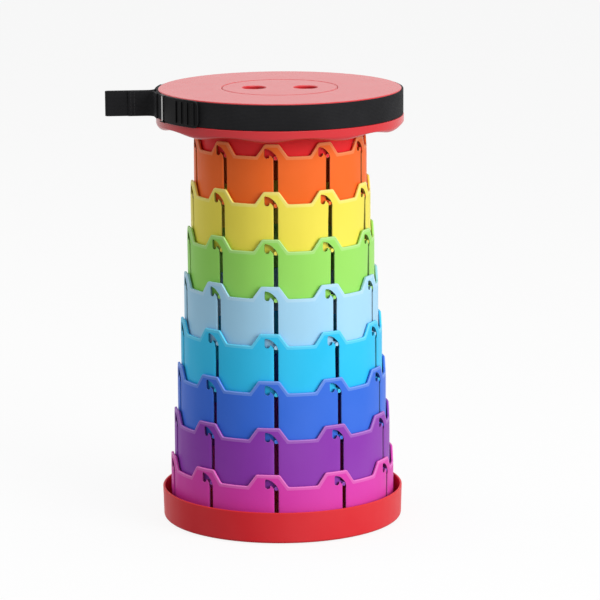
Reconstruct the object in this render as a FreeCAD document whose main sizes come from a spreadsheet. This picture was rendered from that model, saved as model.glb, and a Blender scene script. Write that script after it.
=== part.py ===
import FreeCAD, Part
import math
import os
import Sketcher

# Telescopic stool: nine nested rings between a round seat and a base tray.
# Millimetres, +Z up. The origin is the centre of the pad that stands on the floor.

doc = FreeCAD.newDocument("TelescopicStool")
sheet = doc.addObject("Spreadsheet::Sheet", "sizes")

SIZES = [
    ("seatRadius", 125.0, "seat over its skirt, the size that the others follow"),
    ("slotCount", 10, "slot columns round each ring"),
    ("slotTurn", 32.9, "degrees from the front to a slot column"),
    ("trayGap", 5.46, "base tray's wall to the widest ring at its foot"),
    ("ringStep", 3.83, "each ring's outer radius over the one inside it"),
    ("ringWall", 2.4, "wall of every ring"),
    ("stagePitch", 47.0, "height that each ring shows, and its travel"),
    ("tabHeight", 12.4, "tabs above the valleys between them"),
    ("tabFlat", 14.6, "flat top of a tab on the orange ring"),
    ("tabGrowth", 1.4, "more flat top on each wider ring"),
    ("tabSlope", 8.8, "run of a tab's slanting side"),
    ("tabLead", 3.6, "flat top beyond the slot's centre line"),
    ("slotWidth", 4.6, "slot that a stud slides in"),
    ("slotFoot", 5.4, "wall left below the open slot"),
    ("grooveDepth", 1.45, "inner groove that carries the slot to the lower edge"),
    ("hookOffset", 8.7, "locking pocket's centre beside the slot's"),
    ("hookWidth", 5.4, "locking pocket"),
    ("hookBottom", 14.3, "pocket's floor below the tab's top"),
    ("hookRound", 3.0, "radius of the pocket's floor"),
    ("archTop", 4.4, "top of the channel below the tab's top"),
    ("archCorner", 1.2, "rounding of the channel's outer corner"),
    ("archKnee", 6.2, "where the channel's slope starts beside the slot"),
    ("archFoot", 12.6, "where that slope meets the slot's far side"),
    ("landTop", 10.6, "high corner of the land between pocket and slot"),
    ("landFoot", 14.1, "low corner of that land"),
    ("studDiameter", 3.9, "guide studs"),
    ("studDrop", 13.9, "stud's centre below the tab's top that it hangs in"),
    ("studLow", 2.7, "stud's centre above its own ring's lower edge"),
    ("studReach", 1.2, "stud inside the next wall"),
    ("studRoot", 0.5, "stud sunk in its own wall"),
    ("seatGap", 41.9, "orange tabs to the seat's underside"),
    ("plateThick", 3.0, "seat plate"),
    ("rimSet", 2.4, "seat's side behind its skirt's face"),
    ("rimRound", 1.2, "rounding of the seat's top edge"),
    ("rimWall", 2.4, "seat's side wall"),
    ("skirtDrop", 38.8, "seat's top to the skirt's lowest edge"),
    ("skirtCurl", 5.5, "rounding of the skirt's lower edge"),
    ("skirtWall", 2.2, "skirt"),
    ("scallopDepth", 3.8, "waves of the skirt's edge"),
    ("scallopTurn", 15.1, "degrees from a slot column to a short place of the skirt"),
    ("discSet", 25.3, "finger plate's edge inside the seat's ring"),
    ("discThick", 1.8, "finger plate's flange"),
    ("ledgeWidth", 4.5, "ledge that the finger plate rests on"),
    ("fitGap", 0.3, "gap between pieces that slip together"),
    ("spigotDrop", 1.4, "finger plate's spigot below the ledge"),
    ("clipReach", 0.9, "clips under the ledge"),
    ("clipWidth", 8.0, "clips under the ledge"),
    ("clipCount", 4, "clips under the ledge"),
    ("clipGap", 0.15, "ledge to the clips"),
    ("fingerDiameter", 24.0, "finger holes"),
    ("fingerShare", 0.4467, "finger hole's centre as a share of the plate's radius"),
    ("fingerWall", 2.0, "collar round a finger hole"),
    ("fingerDepth", 9.0, "collar below the seat's top"),
    ("ribDepth", 8.0, "ribs under the seat's middle"),
    ("ribWall", 1.8, "those ribs"),
    ("hubGap", 2.3, "finger plate's edge to the ring rib round it"),
    ("lugSet", 8.5, "screws that hold the seat inside its ring's face"),
    ("lugWidth", 11.0, "lugs inside the seat's ring"),
    ("lugThick", 3.0, "those lugs"),
    ("lugRound", 5.52, "rounding of their ends"),
    ("bossDrop", 10.0, "bosses under the seat, down to the lugs"),
    ("bossDiameter", 7.0, "those bosses"),
    ("bossEnd", 1.5, "boss left beyond its pilot hole"),
    ("screwCount", 5, "screws in each set"),
    ("screwDiameter", 2.5, "screw shanks"),
    ("screwHead", 4.6, "screw heads"),
    ("headThick", 1.6, "screw heads"),
    ("screwSlack", 0.4, "clearance holes over the shank"),
    ("threadSlack", 0.1, "pilot holes over the shank"),
    ("seatScrewLength", 11.0, "shank below the head"),
    ("baseRim", 32.6, "base tray's top edge"),
    ("baseSet", 2.1, "base tray's top edge inside the seat's"),
    ("baseDraft", 0.9, "base tray narrower at its foot"),
    ("baseWall", 2.4, "base tray's wall"),
    ("baseRound", 3.0, "base tray's lower edge"),
    ("rimEdge", 1.0, "rounding of the base tray's top edge"),
    ("ledgeTop", 5.5, "ledge that the widest ring stands on"),
    ("ledgeGap", 0.7, "ledge outside the next ring"),
    ("floorTop", 4.0, "base tray's floor"),
    ("padMargin", 14.9, "base tray's edge to the non-slip pad's"),
    ("padThick", 1.5, "non-slip pad"),
    ("padProud", 0.6, "pad below the base tray"),
    ("footBossSet", 1.46, "bosses' centres outside the widest ring"),
    ("footBossDiameter", 5.0, "those bosses"),
    ("footBossHeight", 10.0, "those bosses"),
    ("footScrewLength", 10.0, "shank below the head"),
    ("headRecess", 2.0, "screw head's recess in the tray"),
    ("strapTop", 0.9, "seat's top to the strap's upper edge"),
    ("strapWidth", 25.3, "webbing"),
    ("strapThick", 1.6, "webbing"),
    ("loopReach", 51.0, "tip of the carry loop beyond the seat"),
    ("loopGap", 3.0, "between the loop's two legs"),
    ("loopTurn", 4.5, "degrees that the loop points in front of the left"),
    ("loopLeave", 5.0, "degrees either side of the loop where its legs leave the rim"),
    ("footStart", 21.2, "degrees from the loop to the front foot's end"),
    ("footEnd", 20.0, "degrees from the loop to the rear foot's end"),
    ("tailReach", 27.8, "cut end of the outer ply beyond the seat"),
    ("tailFoot", 11.0, "degrees from the loop to the outer ply's other end"),
    ("plyGap", 0.1, "between plies of webbing"),
    ("buckleStart", 26.2, "degrees from the left to the buckle's body"),
    ("buckleSpan", 24.8, "degrees that the buckle's body covers"),
    ("buckleThick", 3.0, "buckle's body"),
    ("buckleHeight", 27.1, "buckle"),
    ("buckleRound", 6.5, "buckle's corners"),
    ("gripCount", 4, "ribs on the buckle"),
    ("gripFirst", 9.3, "degrees from the buckle's edge to the first rib"),
    ("gripStep", 3.9, "degrees between ribs"),
    ("gripSpan", 1.5, "degrees that a rib covers"),
    ("gripRise", 1.1, "ribs above the buckle's body"),
    ("gripHeight", 22.0, "ribs"),
    ("armSpan", 4.4, "degrees that the buckle's arms reach past its body"),
    ("armThick", 0.8, "buckle's arms above and below the strap"),
    ("barDiameter", 1.8, "steel bar between the arms"),
    ("barLift", 2.9, "bar's centre outside the strap"),
    ("barTurn", 2.64, "degrees from the buckle's body to its bar"),
    ("armRoot", 1.0, "degrees of the arms inside the buckle's body"),
    ("joinDepth", 0.5, "ribs, bosses and collars sunk in the wall they stand on"),
    ("cutOver", 2.0, "cuts past the faces they cross"),
]

RINGS = [
    "magenta_ring", "purple_ring", "royal_blue_ring", "azure_ring",
    "light_blue_ring", "green_ring", "yellow_ring", "orange_ring",
]
TOLERANCE = 0.001

for row, (alias, number, note) in enumerate(SIZES, start=1):
    sheet.set("A%d" % row, note)
    sheet.set("B%d" % row, str(number))
    sheet.setAlias("B%d" % row, alias)
doc.recompute()

# Sizes that follow from the driving ones, as expressions on the sheet.
RIM_RADIUS = "(sizes.seatRadius - sizes.rimSet)"
BASE_RADIUS = "(sizes.seatRadius - sizes.baseSet)"
PAD_RADIUS = "(%s - sizes.padMargin)" % BASE_RADIUS
WIDE_RADIUS = "(%s - sizes.baseWall - sizes.baseDraft - sizes.trayGap)" % BASE_RADIUS
TOP_RADIUS = "(%s - %d * sizes.ringStep)" % (WIDE_RADIUS, len(RINGS))
FOOT_BOSS_RADIUS = "(%s + sizes.footBossSet)" % WIDE_RADIUS
LUG_RADIUS = "(%s - sizes.lugSet)" % TOP_RADIUS
DISC_RADIUS = "(%s - sizes.discSet)" % TOP_RADIUS
HUB_RADIUS = "(%s + sizes.hubGap)" % DISC_RADIUS
RECESS_RADIUS = "(%s + sizes.fitGap)" % DISC_RADIUS
LEDGE_RADIUS = "(%s - sizes.ledgeWidth)" % RECESS_RADIUS
RING_HEIGHT = "(sizes.stagePitch + sizes.studDrop + sizes.studLow)"
STRAP_INNER = "(%s + sizes.fitGap)" % RIM_RADIUS
STRAP_OUTER = "(%s + sizes.strapThick)" % STRAP_INNER
STRAP_LOW = "(sizes.strapTop + sizes.strapWidth)"
HALF_PITCH = "(180 / sizes.slotCount)"
CAP_TOP = "(sizes.ledgeTop + %s + %d * sizes.stagePitch + sizes.seatGap + sizes.plateThick)" % (
    RING_HEIGHT, len(RINGS) - 1)


def value(expression):
    """The number that an expression on the sheet has now."""
    result = sheet.evalExpression(expression)
    return float(getattr(result, "Value", result))


def origin_feature(body, role):
    return next(f for f in body.Origin.OriginFeatures if f.Role == role)


def new_body(label, height=None, turn=None):
    """A body at a height above the floor, turned about the axis."""
    body = doc.addObject("PartDesign::Body", label)
    body.Label = label
    if turn:
        body.Placement = FreeCAD.Placement(
            FreeCAD.Vector(0, 0, 0), FreeCAD.Rotation(FreeCAD.Vector(0, 0, 1), value(turn)))
        body.setExpression("Placement.Rotation.Angle", turn)
    if height:
        body.setExpression("Placement.Base.z", height)
    return body


def new_sketch(body, name, role="XZ_Plane", turn=None, lift=None):
    """A sketch on one of the body's planes, turned about Z or lifted off the plane."""
    sketch = body.newObject("Sketcher::SketchObject", name)
    sketch.AttachmentSupport = (origin_feature(body, role), [""])
    sketch.MapMode = "FlatFace"
    if turn:
        axis = FreeCAD.Vector(0, 0, 1) if role == "XY_Plane" else FreeCAD.Vector(0, 1, 0)
        sketch.AttachmentOffset = FreeCAD.Placement(
            FreeCAD.Vector(0, 0, 0), FreeCAD.Rotation(axis, value(turn)))
        sketch.setExpression("AttachmentOffset.Rotation.Angle", turn)
    if lift:
        sketch.setExpression("AttachmentOffset.Base.z", lift)
    return sketch


def pin_down(sketch, geometry, position, x, y):
    """Bind a point of the sketch to two expressions."""
    for kind, expression, axis in (("DistanceX", x, -2), ("DistanceY", y, -1)):
        if expression == "0":
            sketch.addConstraint(Sketcher.Constraint("PointOnObject", geometry, position, axis))
        else:
            at = sketch.addConstraint(
                Sketcher.Constraint(kind, -1, 1, geometry, position, value(expression)))
            sketch.setExpression("Constraints[%d]" % at, expression)


def arc_between(start, end, radius, side):
    """The shorter arc from start to end; side is 1 to turn left and -1 to turn right."""
    chord = end - start
    half = chord.Length / 2
    left = FreeCAD.Vector(-chord.y, chord.x, 0).normalize()
    centre = start + chord * 0.5 + left * side * math.sqrt(max(radius ** 2 - half ** 2, 0))
    angles = [math.atan2(p.y - centre.y, p.x - centre.x) for p in (start, end)]
    if side < 0:
        angles.reverse()
    circle = Part.Circle(centre, FreeCAD.Vector(0, 0, 1), radius)
    return Part.ArcOfCircle(circle, angles[0], angles[1])


def outline(sketch, corners):
    """A closed outline. A corner is (x, y), or (x, y, radius, side) where an arc leads to the next one."""
    points = [FreeCAD.Vector(value(c[0]), value(c[1]), 0) for c in corners]
    ends = []
    for i, corner in enumerate(corners):
        after = points[(i + 1) % len(points)]
        if len(corner) == 2:
            geometry = sketch.addGeometry(Part.LineSegment(points[i], after), False)
            ends.append((geometry, 1, 2))
        else:
            arc = arc_between(points[i], after, value(corner[2]), corner[3])
            geometry = sketch.addGeometry(arc, False)
            ends.append((geometry, 1, 2) if corner[3] > 0 else (geometry, 2, 1))
    for i, (geometry, first, last) in enumerate(ends):
        following = ends[(i + 1) % len(ends)]
        sketch.addConstraint(
            Sketcher.Constraint("Coincident", geometry, last, following[0], following[1]))
    for corner, (geometry, first, last) in zip(corners, ends):
        pin_down(sketch, geometry, first, corner[0], corner[1])
        if len(corner) == 4:
            at = sketch.addConstraint(Sketcher.Constraint("Radius", geometry, value(corner[2])))
            sketch.setExpression("Constraints[%d]" % at, corner[2])
    return sketch


def circle(sketch, x, y, diameter):
    centre = FreeCAD.Vector(value(x), value(y), 0)
    geometry = sketch.addGeometry(
        Part.Circle(centre, FreeCAD.Vector(0, 0, 1), value(diameter) / 2), False)
    pin_down(sketch, geometry, 3, x, y)
    at = sketch.addConstraint(Sketcher.Constraint("Diameter", geometry, value(diameter)))
    sketch.setExpression("Constraints[%d]" % at, diameter)
    return sketch


def revolve(body, name, sketch, angle=None):
    turned = body.newObject("PartDesign::Revolution", name)
    turned.Profile = sketch
    turned.ReferenceAxis = (sketch, ["V_Axis"])
    turned.Angle = 360
    if angle:
        turned.Angle = value(angle)
        turned.setExpression("Angle", angle)
    return turned


def pad(body, name, sketch, length, reverse=False):
    feature = body.newObject("PartDesign::Pad", name)
    feature.Profile = sketch
    feature.Reversed = reverse
    feature.setExpression("Length", length)
    return feature


def pocket(body, name, sketch, length, reverse=False):
    """A cut against the sketch's normal, or along it when reversed."""
    feature = body.newObject("PartDesign::Pocket", name)
    feature.Profile = sketch
    feature.Reversed = reverse
    feature.setExpression("Length", length)
    return feature


def pattern(body, name, features, count, angle=None):
    """Repeat features round the axis, or the whole body so far when none are named."""
    around = body.newObject("PartDesign::PolarPattern", name)
    if features:
        around.Originals = features
    else:
        around.TransformMode = "Whole shape"
    around.Axis = (origin_feature(body, "Z_Axis"), [""])
    around.Refine = False
    around.Angle = 360
    if angle:
        around.setExpression("Angle", angle)
    around.setExpression("Occurrences", count)
    body.Tip = around
    return around


def ring_wall(body, radius, height, turn=None, span=None):
    """A tube, or a slice of one, that hangs from the body's origin."""
    sketch = outline(new_sketch(body, "WallSection", turn=turn), [
        (radius, "0"),
        (radius, "-%s" % height),
        ("%s - sizes.ringWall" % radius, "-%s" % height),
        ("%s - sizes.ringWall" % radius, "0"),
    ])
    return revolve(body, "Wall", sketch, span)


def ring_stud(body, radius, height):
    """A stud near the lower edge that reaches into the slot of the next ring."""
    sketch = new_sketch(body, "StudCircle", lift="%s - sizes.studRoot" % radius)
    circle(sketch, "0", "sizes.studLow - %s" % height, "sizes.studDiameter")
    return pad(body, "Stud", sketch,
               "sizes.studRoot + sizes.ringStep - sizes.ringWall + sizes.studReach")


def ring_valleys(body, radius, flat):
    """Cut away the valleys on both sides of the tab."""
    half = "(%s * pi / sizes.slotCount - %s / 2 - sizes.tabSlope)" % (radius, flat)
    over = "sizes.tabSlope * (1 + sizes.cutOver / sizes.tabHeight)"
    middle = "(sizes.tabLead - %s / 2) / %s * 180 / pi" % (flat, radius)
    for name, turn in (("Right", "%s + %s" % (middle, HALF_PITCH)),
                       ("Left", "%s + 360 - %s" % (middle, HALF_PITCH))):
        sketch = outline(new_sketch(body, name + "ValleyOutline", turn=turn), [
            ("-%s" % half, "-sizes.tabHeight"),
            (half, "-sizes.tabHeight"),
            ("%s + %s" % (half, over), "sizes.cutOver"),
            ("-%s - %s" % (half, over), "sizes.cutOver"),
        ])
        pocket(body, name + "Valley", sketch, "%s + sizes.cutOver" % radius, reverse=True)


def ring_slot(body, radius, height):
    """Cut the stud's slot, the channel over the land and the locking pocket beside it."""
    side = "sizes.slotWidth / 2"
    near = "(sizes.hookOffset - sizes.hookWidth / 2)"
    far = "(sizes.hookOffset + sizes.hookWidth / 2)"
    floor = ("(sizes.hookBottom - sizes.hookRound"
             " + sqrt(sizes.hookRound ^ 2 - sizes.hookWidth ^ 2 / 4))")
    low = "(%s - sizes.slotFoot)" % height
    sketch = outline(new_sketch(body, "SlotOutline"), [
        ("-%s" % side, "-%s" % low),
        (side, "-%s" % low),
        (side, "-sizes.archFoot"),
        ("-sizes.archKnee", "-sizes.archTop"),
        ("-%s + sizes.archCorner" % far, "-sizes.archTop", "sizes.archCorner", 1),
        ("-%s" % far, "-sizes.archTop - sizes.archCorner"),
        ("-%s" % far, "-%s" % floor, "sizes.hookRound", 1),
        ("-%s" % near, "-%s" % floor),
        ("-%s" % near, "-sizes.landTop"),
        ("-%s" % side, "-sizes.landFoot"),
    ])
    pocket(body, "Slot", sketch, "%s + sizes.cutOver" % radius, reverse=True)
    groove = outline(new_sketch(body, "GrooveOutline"), [
        ("-%s" % side, "-%s - sizes.cutOver" % height),
        (side, "-%s - sizes.cutOver" % height),
        (side, "-%s + sizes.cutOver" % low),
        ("-%s" % side, "-%s + sizes.cutOver" % low),
    ])
    pocket(body, "Groove", groove,
           "%s - sizes.ringWall + sizes.grooveDepth" % radius, reverse=True)


def sliding_ring(label, stage):
    """A coloured ring: one tab with its slot, repeated round the axis. Stage 0 is the widest."""
    radius = "(%s - %d * sizes.ringStep)" % (WIDE_RADIUS, stage)
    flat = "(sizes.tabFlat + %d * sizes.tabGrowth)" % (len(RINGS) - 1 - stage)
    height = "sizes.ledgeTop + %s + %d * sizes.stagePitch" % (RING_HEIGHT, stage)
    body = new_body(label, height, "sizes.slotTurn")
    ring_wall(body, radius, RING_HEIGHT, "270 - %s" % HALF_PITCH, "360 / sizes.slotCount")
    ring_valleys(body, radius, flat)
    ring_slot(body, radius, RING_HEIGHT)
    if stage > 0:
        ring_stud(body, radius, RING_HEIGHT)
    pattern(body, "Tabs", [], "sizes.slotCount")
    return body


def boss_place(radius):
    """Between two slot columns, as x and y on the XY plane."""
    return "%s * sin(%s)" % (radius, HALF_PITCH), "-%s * cos(%s)" % (radius, HALF_PITCH)


def foot_bosses(body):
    """Bosses outside the widest ring, with blind pilot holes for the base screws."""
    x, y = boss_place(FOOT_BOSS_RADIUS)
    low = "-%s" % RING_HEIGHT
    boss = circle(new_sketch(body, "BossCircle", "XY_Plane", lift=low),
                  x, y, "sizes.footBossDiameter")
    pattern(body, "Bosses", [pad(body, "Boss", boss, "sizes.footBossHeight")], "sizes.screwCount")
    pilot = circle(new_sketch(body, "PilotCircle", "XY_Plane", lift=low),
                   x, y, "sizes.screwDiameter + sizes.threadSlack")
    hole = pocket(body, "Pilot", pilot, "sizes.footBossHeight - sizes.bossEnd", reverse=True)
    pattern(body, "Pilots", [hole], "sizes.screwCount")


def red_ring():
    """The innermost ring, screwed to the seat by lugs inside its upper end."""
    height = "(sizes.seatGap + sizes.studDrop + sizes.studLow)"
    radius = TOP_RADIUS
    body = new_body("red_ring", "%s - sizes.plateThick" % CAP_TOP, "sizes.slotTurn")
    ring_wall(body, radius, height)
    pattern(body, "Studs", [ring_stud(body, radius, height)], "sizes.slotCount")
    half = "sizes.lugWidth / 2"
    root = "-sqrt((%s - sizes.ringWall / 2) ^ 2 - (%s) ^ 2)" % (radius, half)
    flat_lug = outline(
        new_sketch(body, "LugOutline", "XY_Plane", turn=HALF_PITCH, lift="-sizes.bossDrop"), [
            ("-%s" % half, "-%s" % LUG_RADIUS, "sizes.lugRound", -1),
            (half, "-%s" % LUG_RADIUS),
            (half, root),
            ("-%s" % half, root),
        ])
    lug = pad(body, "Lug", flat_lug, "sizes.lugThick", reverse=True)
    pattern(body, "Lugs", [lug], "sizes.screwCount")
    x, y = boss_place(LUG_RADIUS)
    bore = circle(new_sketch(body, "LugHoleCircle", "XY_Plane", lift="-sizes.bossDrop"),
                  x, y, "sizes.screwDiameter + sizes.screwSlack")
    pattern(body, "LugHoles", [pocket(body, "LugHole", bore, "sizes.lugThick")], "sizes.screwCount")


def seat_cap():
    """Seat plate with its rim, the channel for the strap and the scalloped skirt."""
    body = new_body("seat_cap", CAP_TOP, "sizes.slotTurn")
    rim_inner = "(%s - sizes.rimWall)" % RIM_RADIUS
    skirt_top = "(%s + sizes.fitGap)" % STRAP_LOW
    curl_top = "(sizes.skirtDrop - sizes.skirtCurl)"
    section = outline(new_sketch(body, "CapSection"), [
        (RECESS_RADIUS, "0"),
        ("%s - sizes.rimRound" % RIM_RADIUS, "0", "sizes.rimRound", -1),
        (RIM_RADIUS, "-sizes.rimRound"),
        (RIM_RADIUS, "-%s" % skirt_top),
        ("sizes.seatRadius", "-%s" % skirt_top),
        ("sizes.seatRadius", "-%s" % curl_top, "sizes.skirtCurl", -1),
        ("sizes.seatRadius - sizes.skirtCurl", "-sizes.skirtDrop"),
        ("sizes.seatRadius - sizes.skirtCurl", "-sizes.skirtDrop + sizes.skirtWall",
         "sizes.skirtCurl - sizes.skirtWall", 1),
        ("sizes.seatRadius - sizes.skirtWall", "-%s" % curl_top),
        ("sizes.seatRadius - sizes.skirtWall", "-%s - sizes.rimWall" % skirt_top),
        (rim_inner, "-%s" % skirt_top),
        (rim_inner, "-sizes.plateThick"),
        (LEDGE_RADIUS, "-sizes.plateThick"),
        (LEDGE_RADIUS, "-sizes.discThick"),
        (RECESS_RADIUS, "-sizes.discThick"),
    ])
    revolve(body, "Cap", section)
    across = "(sizes.seatRadius * sin(%s))" % HALF_PITCH
    wave = "((%s ^ 2 + sizes.scallopDepth ^ 2) / sizes.scallopDepth / 4)" % across
    middle = "-sizes.skirtDrop + sizes.scallopDepth / 2"
    scallop = outline(new_sketch(body, "ScallopOutline", turn="sizes.scallopTurn"), [
        ("-%s" % across, "-sizes.skirtDrop - sizes.cutOver"),
        (across, "-sizes.skirtDrop - sizes.cutOver"),
        (across, "-sizes.skirtDrop", wave, -1),
        ("%s / 2" % across, middle, wave, 1),
        ("-%s / 2" % across, middle, wave, -1),
        ("-%s" % across, "-sizes.skirtDrop"),
    ])
    cut = pocket(body, "Scallop", scallop, "sizes.seatRadius + sizes.cutOver", reverse=True)
    pattern(body, "Scallops", [cut], "sizes.slotCount")
    seat_ribs(body)


def seat_ribs(body):
    """Ribs and screw bosses under the seat's middle, inside its ring."""
    sunk = "-sizes.plateThick + sizes.joinDepth"
    hub = outline(new_sketch(body, "HubSection"), [
        (HUB_RADIUS, sunk),
        ("%s + sizes.ribWall" % HUB_RADIUS, sunk),
        ("%s + sizes.ribWall" % HUB_RADIUS, "-sizes.plateThick - sizes.ribDepth"),
        (HUB_RADIUS, "-sizes.plateThick - sizes.ribDepth"),
    ])
    revolve(body, "HubRib", hub)
    half = "sizes.ribWall / 2"
    outer_end = "-%s + sizes.ringWall + sizes.fitGap" % TOP_RADIUS
    rib = outline(new_sketch(body, "RibOutline", "XY_Plane", lift=sunk), [
        ("-%s" % half, outer_end),
        (half, outer_end),
        (half, "-%s - %s" % (HUB_RADIUS, half)),
        ("-%s" % half, "-%s - %s" % (HUB_RADIUS, half)),
    ])
    ribs = pad(body, "Rib", rib, "sizes.ribDepth + sizes.joinDepth", reverse=True)
    pattern(body, "Ribs", [ribs], "sizes.slotCount")
    x, y = boss_place(LUG_RADIUS)
    boss = circle(new_sketch(body, "BossCircle", "XY_Plane", lift=sunk), x, y, "sizes.bossDiameter")
    bosses = pad(body, "Boss", boss, "sizes.bossDrop + sizes.joinDepth", reverse=True)
    pattern(body, "Bosses", [bosses], "sizes.screwCount")
    pilot = circle(
        new_sketch(body, "PilotCircle", "XY_Plane", lift="-sizes.plateThick - sizes.bossDrop"),
        x, y, "sizes.screwDiameter + sizes.threadSlack")
    hole = pocket(body, "Pilot", pilot, "sizes.bossDrop - sizes.bossEnd", reverse=True)
    pattern(body, "Pilots", [hole], "sizes.screwCount")


def finger_plate():
    """Round plate in the seat's middle, with two finger holes, held by clips under its ledge."""
    body = new_body("finger_plate", CAP_TOP)
    spigot = "(%s - sizes.fitGap)" % LEDGE_RADIUS
    low = "(sizes.plateThick + sizes.spigotDrop)"
    section = outline(new_sketch(body, "PlateSection", turn="sizes.slotTurn"), [
        ("0", "0"),
        (DISC_RADIUS, "0"),
        (DISC_RADIUS, "-sizes.discThick"),
        (spigot, "-sizes.discThick"),
        (spigot, "-%s" % low),
        ("%s - sizes.fingerWall" % spigot, "-%s" % low),
        ("%s - sizes.fingerWall" % spigot, "-sizes.plateThick"),
        ("0", "-sizes.plateThick"),
    ])
    revolve(body, "Plate", section)
    half = "sizes.clipWidth / 2"
    clip_outline = outline(
        new_sketch(body, "ClipOutline", "XY_Plane", lift="-sizes.plateThick - sizes.clipGap"), [
            ("-%s" % half, "-%s - sizes.clipReach" % spigot),
            (half, "-%s - sizes.clipReach" % spigot),
            (half, "-%s + sizes.fingerWall" % spigot),
            ("-%s" % half, "-%s + sizes.fingerWall" % spigot),
        ])
    clip = pad(body, "Clip", clip_outline, "sizes.spigotDrop - sizes.clipGap", reverse=True)
    pattern(body, "Clips", [clip], "sizes.clipCount")
    for name, sign in (("Right", ""), ("Left", "-")):
        x = "%ssizes.fingerShare * %s" % (sign, DISC_RADIUS)
        collar = circle(new_sketch(body, name + "CollarCircle", "XY_Plane", lift="-sizes.joinDepth"),
                        x, "0", "sizes.fingerDiameter + 2 * sizes.fingerWall")
        pad(body, name + "Collar", collar, "sizes.fingerDepth - sizes.joinDepth", reverse=True)
        hole = circle(new_sketch(body, name + "HoleCircle", "XY_Plane"),
                      x, "0", "sizes.fingerDiameter")
        body.Tip = pocket(body, name + "Hole", hole, "sizes.fingerDepth + sizes.cutOver")


def base_tray():
    """Round tray that the widest ring stands in and that holds the folded stack."""
    body = new_body("base_tray", turn="sizes.slotTurn")
    foot = "(%s - sizes.baseDraft - sizes.baseRound)" % BASE_RADIUS
    inner = "(%s - sizes.baseWall)" % BASE_RADIUS
    ledge = "(%s - sizes.ringStep + sizes.ledgeGap)" % WIDE_RADIUS
    recess = "%s + sizes.fitGap" % PAD_RADIUS
    section = outline(new_sketch(body, "TraySection"), [
        ("0", "sizes.padThick"),
        (recess, "sizes.padThick"),
        (recess, "sizes.padProud"),
        (foot, "sizes.padProud", "sizes.baseRound", 1),
        ("%s + sizes.baseRound" % foot, "sizes.padProud + sizes.baseRound"),
        (BASE_RADIUS, "sizes.baseRim - sizes.rimEdge", "sizes.rimEdge", 1),
        ("%s - sizes.rimEdge" % BASE_RADIUS, "sizes.baseRim"),
        ("%s + sizes.rimEdge" % inner, "sizes.baseRim", "sizes.rimEdge", 1),
        (inner, "sizes.baseRim - sizes.rimEdge"),
        ("%s - sizes.baseDraft" % inner, "sizes.ledgeTop"),
        (ledge, "sizes.ledgeTop"),
        (ledge, "sizes.floorTop"),
        ("0", "sizes.floorTop"),
    ])
    revolve(body, "Tray", section)
    x, y = boss_place(FOOT_BOSS_RADIUS)
    recess_circle = circle(new_sketch(body, "RecessCircle", "XY_Plane"),
                           x, y, "sizes.screwHead + sizes.screwSlack")
    recess_cut = pocket(body, "Recess", recess_circle, "sizes.padProud + sizes.headRecess", reverse=True)
    pattern(body, "Recesses", [recess_cut], "sizes.screwCount")
    bore = circle(new_sketch(body, "BoreCircle", "XY_Plane"),
                  x, y, "sizes.screwDiameter + sizes.screwSlack")
    bore_cut = pocket(body, "Bore", bore, "sizes.ledgeTop + sizes.cutOver", reverse=True)
    pattern(body, "Bores", [bore_cut], "sizes.screwCount")


def base_pad():
    body = new_body("base_pad")
    disc = circle(new_sketch(body, "PadCircle", "XY_Plane"), "0", "0", "2 * %s" % PAD_RADIUS)
    body.Tip = pad(body, "Disc", disc, "sizes.padThick")


def screws(label, height, place_radius, length):
    """A set of screws whose heads' upper faces lie at the given height, points up."""
    body = new_body(label, height, "sizes.slotTurn")
    body.AllowCompound = True
    x, y = boss_place(place_radius)
    shank = pad(body, "Shank", circle(
        new_sketch(body, "ShankCircle", "XY_Plane"), x, y, "sizes.screwDiameter"), length)
    head = pad(body, "Head", circle(
        new_sketch(body, "HeadCircle", "XY_Plane"), x, y, "sizes.screwHead"),
        "sizes.headThick", reverse=True)
    pattern(body, "Screws", [shank, head], "sizes.screwCount")


def strap_band():
    """Webbing round the seat's side."""
    body = new_body("strap_band", CAP_TOP)
    section = outline(new_sketch(body, "StrapSection"), [
        (STRAP_INNER, "-sizes.strapTop"),
        (STRAP_OUTER, "-sizes.strapTop"),
        (STRAP_OUTER, "-%s" % STRAP_LOW),
        (STRAP_INNER, "-%s" % STRAP_LOW),
    ])
    body.Tip = revolve(body, "Band", section)


def polar(radius, degrees, x=0.0, y=0.0):
    angle = math.radians(degrees)
    return FreeCAD.Vector(x + radius * math.cos(angle), y + radius * math.sin(angle), 0)


def arc_edge(radius, start, end, x=0.0, y=0.0):
    return Part.Arc(polar(radius, start, x, y), polar(radius, (start + end) / 2, x, y),
                    polar(radius, end, x, y)).toShape()


def leg_edges(shift, foot, end_x):
    """One face of a ply: along the rim from its foot, round and out to the left."""
    rim = value(STRAP_OUTER) + value("sizes.plyGap + sizes.strapThick / 2")
    leave = math.radians(value("sizes.loopLeave"))
    level = value("(sizes.loopGap + sizes.strapThick) / 2")
    bend = (rim * math.sin(leave) - level) / (1 - math.sin(leave))
    centre_x = -(rim + bend) * math.cos(leave)
    centre_y = -(rim + bend) * math.sin(leave)
    leave_at = 180 + math.degrees(leave)
    rim_arc = arc_edge(rim + shift, 180 + foot, leave_at)
    bend_arc = arc_edge(bend - shift, math.degrees(leave), 90, centre_x, centre_y)
    out = Part.LineSegment(FreeCAD.Vector(centre_x, -level - shift, 0),
                           FreeCAD.Vector(end_x, -level - shift, 0)).toShape()
    return [rim_arc, bend_arc, out]


def closing_edge(first, last):
    return Part.LineSegment(first, last).toShape()


def ply(label, edges):
    """Webbing standing on edge: a closed outline seen from above, as tall as the strap is wide."""
    feature = doc.addObject("Part::Feature", label)
    feature.Label = label
    face = Part.Face(Part.Wire(Part.__sortEdges__(edges)))
    feature.Shape = face.extrude(FreeCAD.Vector(0, 0, -value("sizes.strapWidth")))
    feature.Placement = FreeCAD.Placement(
        FreeCAD.Vector(0, 0, value("%s - sizes.strapTop" % CAP_TOP)),
        FreeCAD.Rotation(FreeCAD.Vector(0, 0, 1), value("sizes.loopTurn")))


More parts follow.
